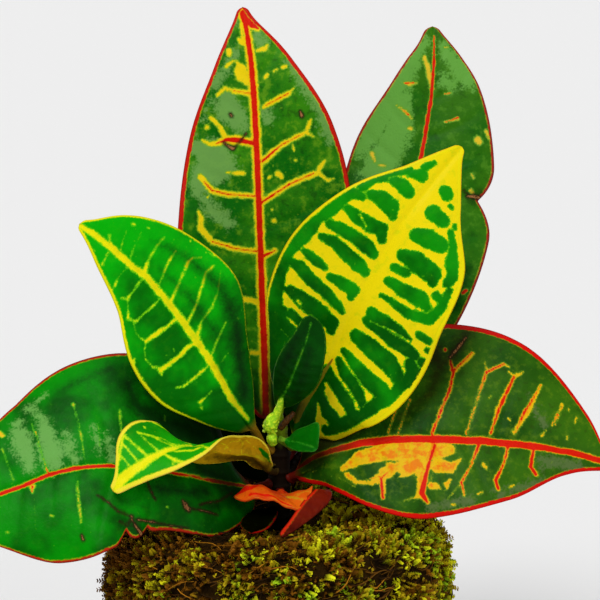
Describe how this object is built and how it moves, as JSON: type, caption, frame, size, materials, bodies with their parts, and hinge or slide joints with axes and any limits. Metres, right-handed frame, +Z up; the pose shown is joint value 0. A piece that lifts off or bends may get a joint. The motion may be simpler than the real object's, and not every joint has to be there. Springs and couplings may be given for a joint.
{
  "type": "potted croton",
  "caption": "Potted croton with broad variegated leaves on a short stem, its moss-wrapped root ball standing in a plain clay pot with a banded rim.",
  "frame": {"origin": "on the surface the pot stands on, under the middle of the pot's base", "axes": "+Z up; -Y towards the side the plant is seen from in the picture; +X to its right"},
  "size_m": [0.2301, 0.1262, 0.2748],
  "materials": {
    "clay": "unglazed fired clay, matt",
    "soil": "damp potting soil, matt",
    "moss": "matt, fibrous sheet moss",
    "stem": "green to brown bark, matt",
    "leaf_red_vein": "glossy dark green leaf with red veins",
    "leaf_yellow_vein": "glossy green leaf with yellow veins",
    "leaf_young": "glossy plain green young leaf",
    "leaf_red": "satin red and orange leaf"
  },
  "bodies": {
    "root": {"pot": "clay", "root_ball": "soil", "moss_wrap": "moss", "stem": "stem", "leaf_back_centre": "leaf_red_vein", "leaf_back_right": "leaf_red_vein", "leaf_front_right": "leaf_yellow_vein", "leaf_mid_left": "leaf_yellow_vein", "leaf_low_left": "leaf_red_vein", "leaf_low_right": "leaf_red_vein", "leaf_twisted": "leaf_yellow_vein", "leaf_young_centre": "leaf_young", "leaf_young_right": "leaf_young", "leaf_crinkled": "leaf_red", "leaf_low_red": "leaf_red", "leaf_back_low": "leaf_red_vein", "leaf_under": "leaf_red_vein"}
  },
  "joints": []
}
